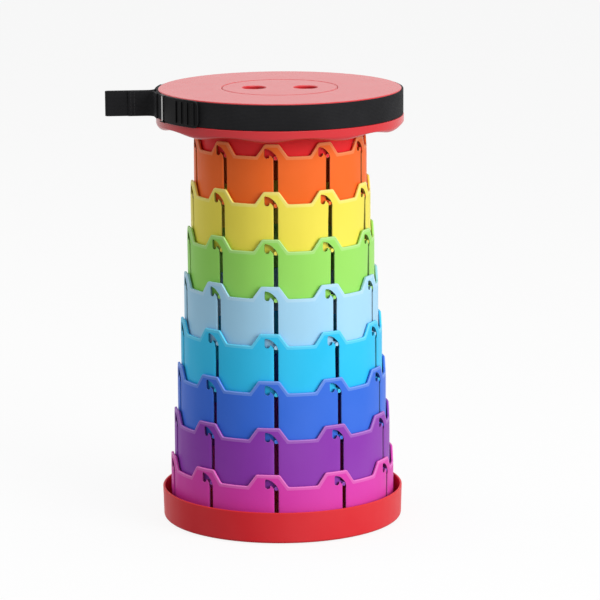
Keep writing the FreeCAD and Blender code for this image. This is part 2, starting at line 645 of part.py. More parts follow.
def strap_loop():
    """Carry loop: the strap doubled back on itself at the left of the seat."""
    half = value("sizes.strapThick / 2")
    tip_x = -value("sizes.seatRadius + sizes.loopReach - sizes.strapThick - sizes.loopGap / 2")
    edges = []
    mirror = FreeCAD.Matrix()
    mirror.A22 = -1
    for sign in (1, -1):
        edges += leg_edges(sign * half, value("sizes.footStart"), tip_x)
        edges += [e.transformGeometry(mirror)
                  for e in leg_edges(sign * half, value("sizes.footEnd"), tip_x)]
        edges.append(arc_edge(value("(sizes.loopGap + sizes.strapThick) / 2") + sign * half,
                              90, 270, tip_x))
    for foot in (value("180 + sizes.footStart"), value("180 - sizes.footEnd")):
        rim = value(STRAP_OUTER) + value("sizes.plyGap")
        edges.append(closing_edge(polar(rim, foot), polar(rim + 2 * half, foot)))
    ply("strap_loop", edges)


def strap_tail():
    """Outer ply of the strap, sewn to the loop's front leg and cut off short of its tip."""
    half = value("sizes.strapThick / 2")
    over = value("sizes.strapThick + sizes.plyGap")
    end_x = -value("sizes.seatRadius + sizes.tailReach")
    foot = value("sizes.tailFoot")
    outside = leg_edges(over + half, foot, end_x)
    inside = leg_edges(over - half, foot, end_x)
    caps = [closing_edge(outside[0].firstVertex().Point, inside[0].firstVertex().Point),
            closing_edge(outside[2].lastVertex().Point, inside[2].lastVertex().Point)]
    ply("strap_tail", outside + inside + caps)


def buckle_slab(body, name, inner, outer, top, low, start, span):
    """A piece of the buckle that follows the rim."""
    sketch = outline(new_sketch(body, name + "Section", turn=start), [
        (inner, top), (outer, top), (outer, low), (inner, low)])
    return revolve(body, name, sketch, span)


def strap_buckle():
    """Slide buckle over the strap, with grip ribs and two arms that hold its bar."""
    body = new_body("strap_buckle", CAP_TOP)
    middle = "(sizes.strapTop + sizes.strapWidth / 2)"
    top = "-%s + sizes.buckleHeight / 2" % middle
    low = "-%s - sizes.buckleHeight / 2" % middle
    inner = "(%s + sizes.fitGap)" % STRAP_OUTER
    over = "(sizes.seatRadius + sizes.fitGap)"
    outer = "(%s + sizes.buckleThick)" % inner
    start = "(180 + sizes.buckleStart)"
    section = outline(new_sketch(body, "BuckleSection", turn=start), [
        (inner, top), (outer, top), (outer, low), (over, low),
        (over, "-%s" % STRAP_LOW), (inner, "-%s" % STRAP_LOW)])
    slab = revolve(body, "Slab", section, "sizes.buckleSpan")
    doc.recompute()
    far_end = value("180 + sizes.buckleStart + sizes.buckleSpan")
    corners = []
    for number, edge in enumerate(slab.Shape.Edges, start=1):
        ends = [v.Point for v in edge.Vertexes]
        at_far_end = all(abs(math.degrees(math.atan2(p.y, p.x)) % 360 - far_end) < TOLERANCE for p in ends)
        level = len(ends) == 2 and abs(ends[0].z - ends[1].z) < TOLERANCE
        if at_far_end and level and any(
                abs(ends[0].z - value(z)) < TOLERANCE for z in (top, low)):
            corners.append("Edge%d" % number)
    rounding = body.newObject("PartDesign::Fillet", "Corners")
    rounding.Base = (slab, corners)
    rounding.setExpression("Radius", "sizes.buckleRound")
    body.Tip = rounding
    grip = buckle_slab(body, "Grip", "%s - sizes.joinDepth" % outer, "%s + sizes.gripRise" % outer,
                       "-%s + sizes.gripHeight / 2" % middle, "-%s - sizes.gripHeight / 2" % middle,
                       "%s + sizes.gripFirst" % start, "sizes.gripSpan")
    pattern(body, "Grips", [grip], "sizes.gripCount", "sizes.gripStep * (sizes.gripCount - 1)")
    bar_lift = "(%s + sizes.barLift)" % STRAP_OUTER
    bar_turn = "(%s - sizes.barTurn)" % start
    arm_outer = "%s + sizes.barDiameter" % bar_lift
    arms = (("Upper", top, "%s - sizes.armThick" % top), ("Lower", "%s + sizes.armThick" % low, low))
    for name, high, under in arms:
        buckle_slab(body, name + "Arm", over, arm_outer, high, under,
                    "%s - sizes.armSpan" % start, "sizes.armSpan + sizes.armRoot")
    hole = circle(new_sketch(body, "BarHoleCircle", "XY_Plane", turn=bar_turn, lift="sizes.cutOver"),
                  bar_lift, "0", "sizes.barDiameter + sizes.threadSlack")
    body.Tip = pocket(body, "BarHole", hole, "sizes.buckleHeight + 2 * sizes.cutOver")
    bar = new_body("buckle_bar", CAP_TOP)
    rod = circle(new_sketch(bar, "BarCircle", "XY_Plane", turn=bar_turn, lift=top),
                 bar_lift, "0", "sizes.barDiameter")
    bar.Tip = pad(bar, "Bar", rod, "sizes.buckleHeight", reverse=True)


for stage, label in enumerate(RINGS):
    ring = sliding_ring(label, stage)
    if stage == 0:
        foot_bosses(ring)
red_ring()
seat_cap()
finger_plate()
base_tray()
base_pad()
screws("base_screws", "sizes.padProud + sizes.headRecess", FOOT_BOSS_RADIUS,
       "sizes.footScrewLength")
screws("seat_screws", "%s - sizes.plateThick - sizes.bossDrop - sizes.lugThick" % CAP_TOP,
       LUG_RADIUS, "sizes.seatScrewLength")
strap_band()
strap_loop()
strap_tail()
strap_buckle()
doc.recompute()

pieces = [o for o in doc.Objects if o.TypeId in ("PartDesign::Body", "Part::Feature")]
for obj in doc.Objects:
    if any(word in obj.State for word in ("Invalid", "Error")):
        raise RuntimeError("%s failed: %s" % (obj.Label, obj.State))
for piece in pieces:
    if piece.Shape.isNull() or not piece.Shape.isValid():
        raise RuntimeError("%s has no valid shape" % piece.Label)

os.makedirs("parts", exist_ok=True)
for piece in pieces:
    piece.Shape.exportStep("parts/%s.step" % piece.Label)
    print("%-16s %d solid(s) %10.1f mm3" % (piece.Label, len(piece.Shape.Solids), piece.Shape.Volume))
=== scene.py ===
import math
import bmesh
import bpy
from mathutils import Matrix, Vector


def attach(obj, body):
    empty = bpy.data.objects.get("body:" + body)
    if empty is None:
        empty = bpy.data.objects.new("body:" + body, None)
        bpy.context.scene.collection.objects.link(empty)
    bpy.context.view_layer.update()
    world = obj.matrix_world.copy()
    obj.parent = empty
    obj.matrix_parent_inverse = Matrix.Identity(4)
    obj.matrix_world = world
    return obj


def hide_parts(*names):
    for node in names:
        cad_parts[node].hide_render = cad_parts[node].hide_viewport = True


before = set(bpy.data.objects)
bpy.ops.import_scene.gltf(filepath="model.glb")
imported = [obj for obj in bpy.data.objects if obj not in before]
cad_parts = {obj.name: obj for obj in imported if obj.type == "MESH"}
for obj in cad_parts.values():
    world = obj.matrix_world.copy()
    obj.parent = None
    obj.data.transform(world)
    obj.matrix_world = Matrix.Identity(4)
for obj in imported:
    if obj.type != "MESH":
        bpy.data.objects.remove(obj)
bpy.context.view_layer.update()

mm = 0.001
hair = 0.01  # millimetres: closer than this is the same place
same = {"axis": 1e-9, "plane": 1e-7, "vertex": 1e-6, "seam": 2e-6}  # and in metres, for vertices
flatTurn = 0.01  # radians: faces that turn less than this are one flat face
sharpTurn = 30  # degrees: an edge that turns more than this can be softened
smallSides = 20  # of a small hole or pin
zAxis = Vector((0, 0, 1))
black, white = (0, 0, 0), (1, 1, 1)
noiseMiddle = (0.3, 0.7)  # where nearly all of a noise lies


class Wire:
    # One output of a shader node, which takes part in Python sums.
    def __init__(self, nodes, socket):
        self.nodes = nodes
        self.socket = socket

    def sum(self, operation, first, second):
        return self.nodes.add("ShaderNodeMath", {"operation": operation}, {0: first, 1: second})

    def __add__(self, other):
        return self.sum("ADD", self, other)

    def __radd__(self, other):
        return self.sum("ADD", other, self)

    def __sub__(self, other):
        return self.sum("SUBTRACT", self, other)

    def __rsub__(self, other):
        return self.sum("SUBTRACT", other, self)

    def __mul__(self, other):
        return self.sum("MULTIPLY", self, other)

    def __rmul__(self, other):
        return self.sum("MULTIPLY", other, self)


class Nodes:
    # The nodes of one material, or of the world.
    def __init__(self, owner):
        owner.use_nodes = True
        self.owner = owner
        self.tree = owner.node_tree

    def connect(self, target, value):
        if isinstance(value, Wire):
            self.tree.links.new(value.socket, target)
        elif isinstance(value, tuple) and len(value) == 3 and target.type == "RGBA":
            target.default_value = value + (1.0,)
        else:
            target.default_value = value

    def fill(self, node, sockets):
        for name, value in sockets.items():
            self.connect(node.inputs[name], value)

    def add(self, kind, settings=None, sockets=None, output=0):
        node = self.tree.nodes.new(kind)
        for name, value in (settings or {}).items():
            setattr(node, name, value)
        self.fill(node, sockets or {})
        return Wire(self, node.outputs[output])

    def mix(self, amount, first, second):
        sockets = {0: amount, 6: first, 7: second}
        return self.add("ShaderNodeMix", {"data_type": "RGBA"}, sockets, output=2)

    def noise(self, scale, detail=2.0, stretch=(1, 1, 1)):
        place = self.add("ShaderNodeTexCoord", output="Object")
        where = self.add("ShaderNodeMapping", {}, {"Vector": place, "Scale": stretch})
        return self.add("ShaderNodeTexNoise", {}, {
            "Vector": where, "Scale": scale, "Detail": detail})

    def between(self, amount, low, high):
        # Spread the middle of a noise from low to high.
        return self.add("ShaderNodeMapRange", {}, {
            "Value": amount, "From Min": noiseMiddle[0], "From Max": noiseMiddle[1],
            "To Min": low, "To Max": high})

    def seenDirectly(self):
        # 1 for camera, glossy and transmission rays.
        seen = self.add("ShaderNodeLightPath", output="Is Camera Ray")
        for name in ("Is Glossy Ray", "Is Transmission Ray"):
            seen = seen.sum("MAXIMUM", seen, self.add("ShaderNodeLightPath", output=name))
        return seen


class Finish(Nodes):
    # A material with one Principled shader.
    def __init__(self, name, **sockets):
        super().__init__(bpy.data.materials.new(name))
        self.shader = self.tree.nodes["Principled BSDF"]
        self.set(**sockets)

    def set(self, **sockets):
        self.fill(self.shader, {name.replace("_", " "): value for name, value in sockets.items()})

    def bump(self, height, strength, distance):
        self.set(Normal=self.add("ShaderNodeBump", {}, {
            "Height": height, "Strength": strength, "Distance": distance}))


def paint(red, green, blue):
    # A colour as a picture shows it, 0 to 255, for a shader.
    def level(share):
        return share / 12.92 if share <= 0.04045 else ((share + 0.055) / 1.055) ** 2.4
    return tuple(level(part / 255) for part in (red, green, blue))


def towards(colour, other, share):
    return tuple(a + (b - a) * share for a, b in zip(colour, other))


plasticLooks = {
    "ring": {"roughness": 0.45, "streaks": 0.05, "gloss": 0.12, "mottle": 0.05, "grain": 0.10,
             "paintedEdgeLight": 0.34, "paintedSlotShade": 0.65},
    "seat": {"roughness": 0.24, "streaks": 0.01, "gloss": 0.35, "mottle": 0.03, "grain": 0.05,
             "paintedEdgeLight": 0.05, "paintedSlotShade": 0.0},
    "buckle": {"roughness": 0.46, "streaks": 0.04, "gloss": 0.10, "mottle": 0.0, "grain": 0.16,
               "paintedEdgeLight": 0.10, "paintedSlotShade": 0.0},
}
plasticScales = {"cloud": 9, "cloudDetail": 3, "streak": 60, "streakStretch": (1, 1, 0.15),
                 "grain": 2600, "grainDepth": 0.00002}


def mouldedPlastic(name, shade, kind="ring"):
    # Satin moulding: faint mottling, fine grain, a painted highlight on edges and painted shade on
    # the slot sides.
    look, scales = plasticLooks[kind], plasticScales
    colour = paint(*shade)
    # The edge colour is a painted highlight: the shade mixed towards white.
    paintedHighlight = paint(*(part + (255 - part) * look["paintedEdgeLight"] for part in shade))
    finish = Finish(name, Specular_IOR_Level=look["gloss"])
    cloud = finish.between(finish.noise(scales["cloud"], scales["cloudDetail"]), 0, 1)
    body = finish.mix(cloud, towards(colour, black, look["mottle"]),
                      towards(colour, white, look["mottle"] / 2))
    # The "edge" attribute carries painted highlights on rounded edges, tab borders and the slopes
    # by the slots.
    edge = finish.add("ShaderNodeAttribute", {"attribute_name": "edge"}, output="Fac")
    # The "deep" attribute carries painted shade: the slot sides are darkened towards black.
    deep = finish.add("ShaderNodeAttribute", {"attribute_name": "deep"}, output="Fac")
    body = finish.mix(deep * look["paintedSlotShade"], body, black)
    streak = finish.noise(scales["streak"], stretch=scales["streakStretch"])
    smooth, dull = look["roughness"] - look["streaks"], look["roughness"] + look["streaks"]
    finish.set(Base_Color=finish.mix(edge, body, paintedHighlight),
               Roughness=finish.between(streak, smooth, dull))
    finish.bump(finish.noise(scales["grain"]), look["grain"], scales["grainDepth"])
    return finish.owner


steelLook = {"colour": (0.50, 0.50, 0.49), "smooth": 0.24, "dull": 0.42, "scale": 900,
             "stretch": (1, 1, 0.1)}


def steel():
    look = steelLook
    finish = Finish("zincSteel", Metallic=1.0, Base_Color=look["colour"])
    brushed = finish.noise(look["scale"], stretch=look["stretch"])
    finish.set(Roughness=finish.between(brushed, look["smooth"], look["dull"]))
    return finish.owner


rubberLook = {"dark": (0.030, 0.030, 0.031), "dusty": (0.052, 0.051, 0.050), "roughness": 0.85,
              "dust": 45, "dustDetail": 4, "grain": 1800, "grainDetail": 1, "grainStrength": 0.5,
              "grainDepth": 0.0001}


def padRubber():
    look = rubberLook
    finish = Finish("padRubber", Roughness=look["roughness"])
    dust = finish.between(finish.noise(look["dust"], look["dustDetail"]), 0, 1)
    finish.set(Base_Color=finish.mix(dust, look["dark"], look["dusty"]))
    grain = finish.noise(look["grain"], look["grainDetail"])
    finish.bump(grain, look["grainStrength"], look["grainDepth"])
    return finish.owner


webLook = {
    "rib": 1.35, "pick": 1.9, "slant": 1.4, "ribShare": 0.45, "slantShare": 0.30, "backShare": 0.25,
    "width": 25.3, "selvage": 1.6, "selvageDepth": 0.5, "threadStrength": 0.7,
    "threadDepth": 0.00022, "deep": (0.004, 0.004, 0.0045), "worn": (0.024, 0.024, 0.026),
    "cloud": 26, "cloudWear": 0.30, "weaveWear": 0.55, "fuzz": 700, "fuzzDetail": 3,
    "fuzzWear": 0.15, "smooth": 0.62, "dull": 0.82, "gloss": 0.12,
}


def webbing():
    # Black woven webbing on its own UV map: u along the strap and v across it, both in millimetres.
    look = webLook
    finish = Finish("blackWebbing", Specular_IOR_Level=look["gloss"])
    uv = finish.add("ShaderNodeUVMap", {"uv_map": "strap"})
    along = finish.add("ShaderNodeSeparateXYZ", {}, {0: uv}, output="X")
    across = finish.add("ShaderNodeSeparateXYZ", {}, {0: uv}, output="Y")

    def wave(value, period):
        # A sine between 0 and 1.
        turn = value * (2 * math.pi / period)
        return finish.add("ShaderNodeMath", {"operation": "SINE"}, {0: turn}) * 0.5 + 0.5

    slant = wave(along + across * look["slant"], look["pick"])
    back = wave(along - across * look["slant"], look["pick"])
    weave = (wave(across, look["rib"]) * look["ribShare"] + slant * look["slantShare"]
             + back * look["backShare"])
    fromMiddle = finish.add("ShaderNodeMath", {"operation": "ABSOLUTE"}, {0: across})
    selvage = fromMiddle.sum("GREATER_THAN", fromMiddle, look["width"] / 2 - look["selvage"])
    fuzz = finish.noise(look["fuzz"], look["fuzzDetail"])
    cloud = finish.between(finish.noise(look["cloud"], look["fuzzDetail"]), 0, look["cloudWear"])
    wear = cloud + weave * look["weaveWear"] + fuzz * look["fuzzWear"]
    finish.set(Base_Color=finish.mix(wear, look["deep"], look["worn"]),
               Roughness=finish.between(fuzz, look["smooth"], look["dull"]))
    height = weave * (1 - selvage * look["selvageDepth"]) + fuzz * look["fuzzWear"]
    finish.bump(height, look["threadStrength"], look["threadDepth"])
    return finish.owner


threadLook = {"deep": (0.008, 0.008, 0.0085), "worn": (0.018, 0.018, 0.0195), "fuzz": 1500,
              "fuzzDetail": 3, "roughness": 0.6}


def thread():
    look = threadLook
    finish = Finish("blackThread", Roughness=look["roughness"])
    fuzz = finish.between(finish.noise(look["fuzz"], look["fuzzDetail"]), 0, 1)
    finish.set(Base_Color=finish.mix(fuzz, look["deep"], look["worn"]))
    return finish.owner


shades = {
    "red": (224, 42, 50),
    "orange": (251, 110, 32),
    "yellow": (250, 234, 86),
    "green": (158, 228, 102),
    "light_blue": (170, 221, 250),
    "azure": (48, 202, 250),
    "royal_blue": (58, 114, 228),
    "purple": (144, 56, 178),
    "magenta": (222, 60, 176),
}
topShades = {"redRing": (243, 36, 42), "seat": (212, 40, 48), "buckle": (6, 6, 7)}
plastics = {name: mouldedPlastic(name + "Plastic", shade) for name, shade in shades.items()}
redRingPlastic = mouldedPlastic("redRingPlastic", topShades["redRing"])
seatPlastic = mouldedPlastic("seatPlastic", topShades["seat"], "seat")
blackPlastic = mouldedPlastic("blackPlastic", topShades["buckle"], "buckle")
webbingFinish = webbing()
threadFinish = thread()
steelFinish = steel()
rubberFinish = padRubber()
print("finishes ready")


def flatFace(bm, corners, plane="XZ"):
    # A flat face from (across, up) corners, in millimetres. A rounded corner adds its width and its
    # number of segments, the same pair as in every softening.
    verts = []
    for corner in corners:
        a, b = corner[0] * mm, corner[1] * mm
        verts.append(bm.verts.new((a, 0, b) if plane == "XZ" else (a, b, 0)))
    face = bm.faces.new(verts)
    for vert, corner in zip(verts, corners):
        if len(corner) == 4:
            bmesh.ops.bevel(bm, geom=[vert], offset=corner[2] * mm, affect="VERTICES",
                            segments=corner[3], profile=0.5, material=-1)
    return face


def circle(bm, radius, segments, x=0.0, y=0.0):
    made = bmesh.ops.create_circle(bm, segments=segments, radius=radius * mm,
                                   matrix=Matrix.Translation((x * mm, y * mm, 0)))
    return made["verts"]


def keepEdges(bm):
    bmesh.ops.delete(bm, geom=bm.faces[:], context="FACES_ONLY")


def fillOutlines(bm):
    # Turn closed outlines, holes among them, into clean flat faces.
    bmesh.ops.triangle_fill(bm, use_beauty=True, use_dissolve=False, edges=bm.edges[:])
    bmesh.ops.dissolve_limit(bm, angle_limit=flatTurn, use_dissolve_boundaries=False,
                             verts=bm.verts[:], edges=bm.edges[:])


def withEdges(faces):
    # Faces with their edges, always in one order. An extrusion of both leaves no faces inside.
    return list(faces) + list(dict.fromkeys(edge for face in faces for edge in face.edges))


def cut(bm, place, normal=(1, 0), where=lambda face: True, drop=None):
    # Cut along the plane at a distance from the origin, with its normal in the XZ plane. With drop,
    # what lies beyond on that side goes.
    faces = [f for f in bm.faces if where(f)]
    geom = withEdges(faces)
    geom += dict.fromkeys(vert for face in faces for vert in face.verts)
    across = Vector((normal[0], 0, normal[1]))
    bmesh.ops.bisect_plane(
        bm, geom=geom, dist=same["plane"], plane_co=across * place * mm, plane_no=across,
        clear_outer=drop == "above", clear_inner=drop == "below")


def shift(bm, x=0.0, y=0.0, z=0.0, verts=None):
    bmesh.ops.translate(bm, verts=verts or bm.verts[:], vec=(x * mm, y * mm, z * mm))


def thicken(bm, faces, x=0.0, y=0.0, z=0.0):
    # Extrude faces and return the moved ones.
    raised = bmesh.ops.extrude_face_region(bm, geom=withEdges(faces))["geom"]
    shift(bm, x, y, z, [g for g in raised if isinstance(g, bmesh.types.BMVert)])
    return [g for g in raised if isinstance(g, bmesh.types.BMFace)]


def sharpEdges(bm, test=lambda edge: True):
    limit = math.radians(sharpTurn)
    return [e for e in bm.edges
            if len(e.link_faces) == 2 and e.calc_face_angle(0) > limit and test(e)]


def faceLayer(bm, name):
    # What the plastic reads for each face: "edge" adds a painted highlight and "deep" painted
    # shade.
    return bm.faces.layers.float.get(name) or bm.faces.layers.float.new(name)


def softenEdges(bm, edges, softening):
    width, segments = softening
    layer = faceLayer(bm, "edge")
    made = bmesh.ops.bevel(bm, geom=edges, offset=width * mm, affect="EDGES", segments=segments,
                           profile=0.5, material=-1, clamp_overlap=True, loop_slide=False)
    # Every rounding face gets the full painted highlight.
    for face in made["faces"]:
        face[layer] = 1.0


def merge(bm, reach):
    # Join the vertices that lie closer together than the reach, in metres.
    bmesh.ops.remove_doubles(bm, verts=bm.verts[:], dist=reach)


def softenAll(bm, softening):
    # Soften a small piece all over. Roundings that meet leave points on each other.
    softenEdges(bm, sharpEdges(bm), softening)
    merge(bm, same["vertex"])


def bend(bm, radius):
    # Wrap a flat piece round the Z axis. x runs along the surface from the front, and y inwards.
    for vert in bm.verts:
        angle = vert.co.x / (radius * mm)
        reach = radius * mm - vert.co.y
        vert.co = (reach * math.sin(angle), -reach * math.cos(angle), vert.co.z)


def turn(bm, degrees):
    bmesh.ops.rotate(bm, cent=(0, 0, 0), matrix=Matrix.Rotation(math.radians(degrees), 3, "Z"),
                     verts=bm.verts[:])


def repeatRound(bm, count):
    bmesh.ops.spin(bm, geom=bm.verts[:] + bm.edges[:] + bm.faces[:], cent=(0, 0, 0), axis=zAxis,
                   angle=2 * math.pi * (count - 1) / count, steps=count - 1, use_duplicate=True)
    merge(bm, same["seam"])


def spinSection(bm, steps):
    # Turn an outline in the XZ plane into a full ring.
    bmesh.ops.spin(bm, geom=bm.verts[:] + bm.edges[:], cent=(0, 0, 0), axis=zAxis,
                   angle=2 * math.pi, steps=steps, use_merge=True)
    merge(bm, same["vertex"])
    bmesh.ops.recalc_face_normals(bm, faces=bm.faces[:])


def ringFrom(corners, steps):
    # A closed outline turned round the axis. An edge on the axis is left out, so poles close.
    bm = bmesh.new()
    flatFace(bm, corners)
    keepEdges(bm)
    axis = [e for e in bm.edges if all(abs(v.co.x) < same["axis"] for v in e.verts)]
    bmesh.ops.delete(bm, geom=axis, context="EDGES")
    spinSection(bm, steps)
    return bm


def pierce(bm, places, profile, segments):
    # Fill the flat faces at the profile's two ends anew, round holes that run along the profile's
    # (radius, height) corners from one to the other.
    def flatAt(height, element):
        return all(abs(v.co.z - height * mm) < same["plane"] for v in element.verts)

    ends = (profile[0][1], profile[-1][1])
    bmesh.ops.delete(bm, geom=[f for f in bm.faces if flatAt(ends[0], f) or flatAt(ends[1], f)],
                     context="FACES")
    for x, y in places:
        verts = circle(bm, profile[0][0], segments, x, y)
        shift(bm, z=ends[0], verts=verts)
        centre = Matrix.Translation((-x * mm, -y * mm, 0))
        for (radius, height), (nextRadius, nextHeight) in zip(profile, profile[1:]):
            nearby = dict.fromkeys(e for v in verts for e in v.link_edges)
            rim = [e for e in nearby if flatAt(height, e) and all(v in verts for v in e.verts)]
            made = bmesh.ops.extrude_edge_only(bm, edges=rim)["geom"]
            verts = [g for g in made if isinstance(g, bmesh.types.BMVert)]
            share = nextRadius / radius
            bmesh.ops.scale(bm, vec=(share, share, 1), space=centre, verts=verts)
            shift(bm, z=nextHeight - height, verts=verts)
    for height in ends:
        rims = [e for e in bm.edges if e.is_boundary and flatAt(height, e)]
        bmesh.ops.triangle_fill(bm, use_beauty=True, use_dissolve=False, edges=rims)
        inside = [e for e in bm.edges if flatAt(height, e) and len(e.link_faces) == 2
                  and all(flatAt(height, f) for f in e.link_faces)]
        bmesh.ops.dissolve_limit(bm, angle_limit=flatTurn, use_dissolve_boundaries=False,
                                 verts=[], edges=inside)
    bmesh.ops.recalc_face_normals(bm, faces=bm.faces[:])


def plate(corners, thick, softening=None, holes=()):
    # A flat plate under the XY plane, with round holes at (x, y, radius).
    bm = bmesh.new()
    flatFace(bm, corners, "XY")
    for x, y, radius in holes:
        circle(bm, radius, smallSides, x, y)
    keepEdges(bm)
    fillOutlines(bm)
    thicken(bm, bm.faces[:], z=-thick)
    bmesh.ops.recalc_face_normals(bm, faces=bm.faces[:])
    if softening:
        softenAll(bm, softening)
    return bm


def peg(radius, length, softening, segments=smallSides):
    # A short round pin along +Z, with both ends softened.
    bm = bmesh.new()
    bmesh.ops.create_cone(bm, cap_ends=True, segments=segments, radius1=radius * mm,
                          radius2=radius * mm, depth=length * mm)
    softenAll(bm, softening)
    return bm


def absorb(bm, other, matrix=None):
    # Copy another bmesh into this one and free it.
    if matrix:
        bmesh.ops.transform(other, matrix=matrix, verts=other.verts[:])
    mesh = bpy.data.meshes.new("part")
    other.to_mesh(mesh)
    other.free()
    bm.from_mesh(mesh)
    bpy.data.meshes.remove(mesh)


def makePiece(bm, name, body, material, node=None, sharp=38):
    bmesh.ops.recalc_face_normals(bm, faces=bm.faces[:])
    for face in bm.faces:
        face.smooth = True
    for edge in bm.edges:
        edge.smooth = len(edge.link_faces) == 2 and edge.calc_face_angle(0) < math.radians(sharp)
    mesh = bpy.data.meshes.new(name)
    bm.to_mesh(mesh)
    bm.free()
    piece = bpy.data.objects.new(name, mesh)
    bpy.context.scene.collection.objects.link(piece)
    mesh.materials.append(material)
    weighted = piece.modifiers.new("even shading", "WEIGHTED_NORMAL")
    weighted.keep_sharp = True
    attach(piece, body)
    if node:
        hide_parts(node)


view = {"lens": 204.2, "sensor": 36, "place": (0, -3.402, 0.909), "down": 11.381, "right": 0.322,
        "roll": 0.332}
cameraData = bpy.data.cameras.new("photoCamera")
cameraData.lens = view["lens"]
cameraData.sensor_width = view["sensor"]
camera = bpy.data.objects.new("photoCamera", cameraData)
bpy.context.scene.collection.objects.link(camera)
camera.matrix_world = (
    Matrix.Translation(view["place"])
    @ Matrix.Rotation(math.radians(-view["right"]), 4, "Z")
    @ Matrix.Rotation(math.radians(90 - view["down"]), 4, "X")
    @ Matrix.Rotation(math.radians(-view["roll"]), 4, "Z"))
bpy.context.scene.camera = camera

lamps = {
    "keyLamp": {"place": (2.15, -1.95, 1.2), "size": 2.2, "watts": 75, "mirrored": False},
    "topLamp": {"place": (0.2, -0.2, 2.8), "size": 1.8, "watts": 26, "mirrored": True},
    "leftLamp": {"place": (-2.4, 0.9, 1.1), "size": 1.6, "watts": 14, "mirrored": False},
}
studio = {"aim": (0, 0, 0.22), "ambient": 0.36, "floorRadius": 14, "floorSides": 96,
          "floorGap": 0.0004, "floorSeen": (0.92, 0.92, 0.92), "floorUnseen": (0.40, 0.40, 0.40),
          "floorGlow": 0.89}


def placeLamp(name, lamp):
    lampData = bpy.data.lights.new(name, "AREA")
    lampData.shape = "DISK"
    lampData.size = lamp["size"]
    lampData.energy = lamp["watts"]
    lampObject = bpy.data.objects.new(name, lampData)
    lampObject.location = lamp["place"]
    lampObject.visible_glossy = lamp["mirrored"]  # a low lamp would whiten the seat from across
    aim = Vector(studio["aim"]) - Vector(lamp["place"])
    lampObject.rotation_euler = aim.to_track_quat("-Z", "Y").to_euler()
    bpy.context.scene.collection.objects.link(lampObject)


def whiteWorld():
    world = bpy.data.worlds.new("studio")
    bpy.context.scene.world = world
    nodes = Nodes(world)
    ambient = studio["ambient"]
    nodes.fill(nodes.tree.nodes["Background"], {
        "Color": white, "Strength": nodes.seenDirectly() * (1 - ambient) + ambient})


def whiteFloor():
    bm = bmesh.new()
    bmesh.ops.create_circle(
        bm, cap_ends=True, segments=studio["floorSides"], radius=studio["floorRadius"],
        matrix=Matrix.Translation((0, 0, -studio["floorGap"])))
    mesh = bpy.data.meshes.new("floor")
    bm.to_mesh(mesh)
    bm.free()
    floor = bpy.data.objects.new("floor", mesh)
    bpy.context.scene.collection.objects.link(floor)
    finish = Finish("paleFloor", Roughness=1.0, Specular_IOR_Level=0.0)
    seen = finish.seenDirectly()
    finish.set(Base_Color=finish.mix(seen, studio["floorUnseen"], studio["floorSeen"]))
    glow = finish.add("ShaderNodeEmission", {}, {"Color": white})
    lit = Wire(finish, finish.shader.outputs[0])
    both = finish.add("ShaderNodeMixShader", {}, {0: seen * studio["floorGlow"], 1: lit, 2: glow})
    finish.fill(finish.tree.nodes["Material Output"], {"Surface": both})
    mesh.materials.append(finish.owner)


bpy.context.scene.view_settings.view_transform = "Standard"
for name, lamp in lamps.items():
    placeLamp(name, lamp)
whiteWorld()
whiteFloor()
print("camera and studio ready")

ringShape = {
    "height": 63.6, "wall": 2.4, "columns": 10, "turn": 32.9, "firstTop": 69.1, "stage": 47.0,
    "topRadius": 83.5, "step": 3.83, "tabHeight": 12.4, "tabFlat": 14.6, "tabGrowth": 1.4,
    "tabSlope": 8.8, "tabLead": 3.6, "tabRound": (1.3, 4), "tabSoftening": (2.0, 3),
    "innerSoftening": (0.4, 1), "border": 3.2, "paintedBorderLight": 0.5, "borderLow": -31.2,
    "grooveDepth": 1.45, "columnDegrees": 2.0, "spare": 4.0,
}
slotShape = {
    "side": 2.3, "foot": 5.4, "hookNear": 6.0, "hookFar": 11.4, "hookBottom": 14.3,
    "hookRound": (2.65, 5), "archTop": 4.4, "archCorner": (2.4, 5), "archKnee": 6.2,
    "kneeRound": (4.2, 6), "archFoot": 12.6, "footRound": (4.0, 5), "landTop": 10.4,
    "landFoot": 14.1, "landRound": (1.25, 4), "softening": (0.6, 2), "slack": 0.1, "sideways": 0.5,
}
slotSlopes = {"left": 4.2, "leftDepth": 1.0, "right": 2.4, "rightDepth": 0.45, "top": 16.0,
              "fade": 2.5, "paintedHighlight": 0.6, "paintedHighlightDepth": 1.0, "reach": 4.0}
studShape = {"radius": 1.95, "low": 2.7, "root": 0.5, "reach": 3.13, "softening": (0.35, 2)}
footBoss = {"radius": 2.5, "height": 10.0, "place": 115.6, "count": 5, "softening": (0.3, 2),
            "sides": 24}
ringNames = ["magenta", "purple", "royal_blue", "azure", "light_blue", "green", "yellow", "orange"]


def tabCorners(radius, flat):
    # Where one tab's sides start and end, along the arc at the outer face: left foot, left top,
    # right top and right foot.
    s = ringShape
    half = radius * math.pi / s["columns"]
    floor = half - flat / 2 - s["tabSlope"]
    middle = s["tabLead"] - flat / 2
    inner = radius * math.asin(floor / radius)
    outer = radius * math.asin((floor + s["tabSlope"]) / radius)
    left, right = middle - half, middle + half
    return left + inner, left + outer, right - outer, right - inner


def sectorOutline(radius, flat):
    # One tab between the middles of two valleys, and some to spare.
    s = ringShape
    leftFoot, leftTop, rightTop, rightFoot = tabCorners(radius, flat)
    low, valley = -s["height"], -s["tabHeight"]
    end = radius * math.pi / s["columns"] + s["spare"]
    return [
        (-end, low), (end, low), (end, valley), (rightFoot, valley) + s["tabRound"],
        (rightTop, 0) + s["tabRound"], (leftTop, 0) + s["tabRound"],
        (leftFoot, valley) + s["tabRound"], (-end, valley),
    ]


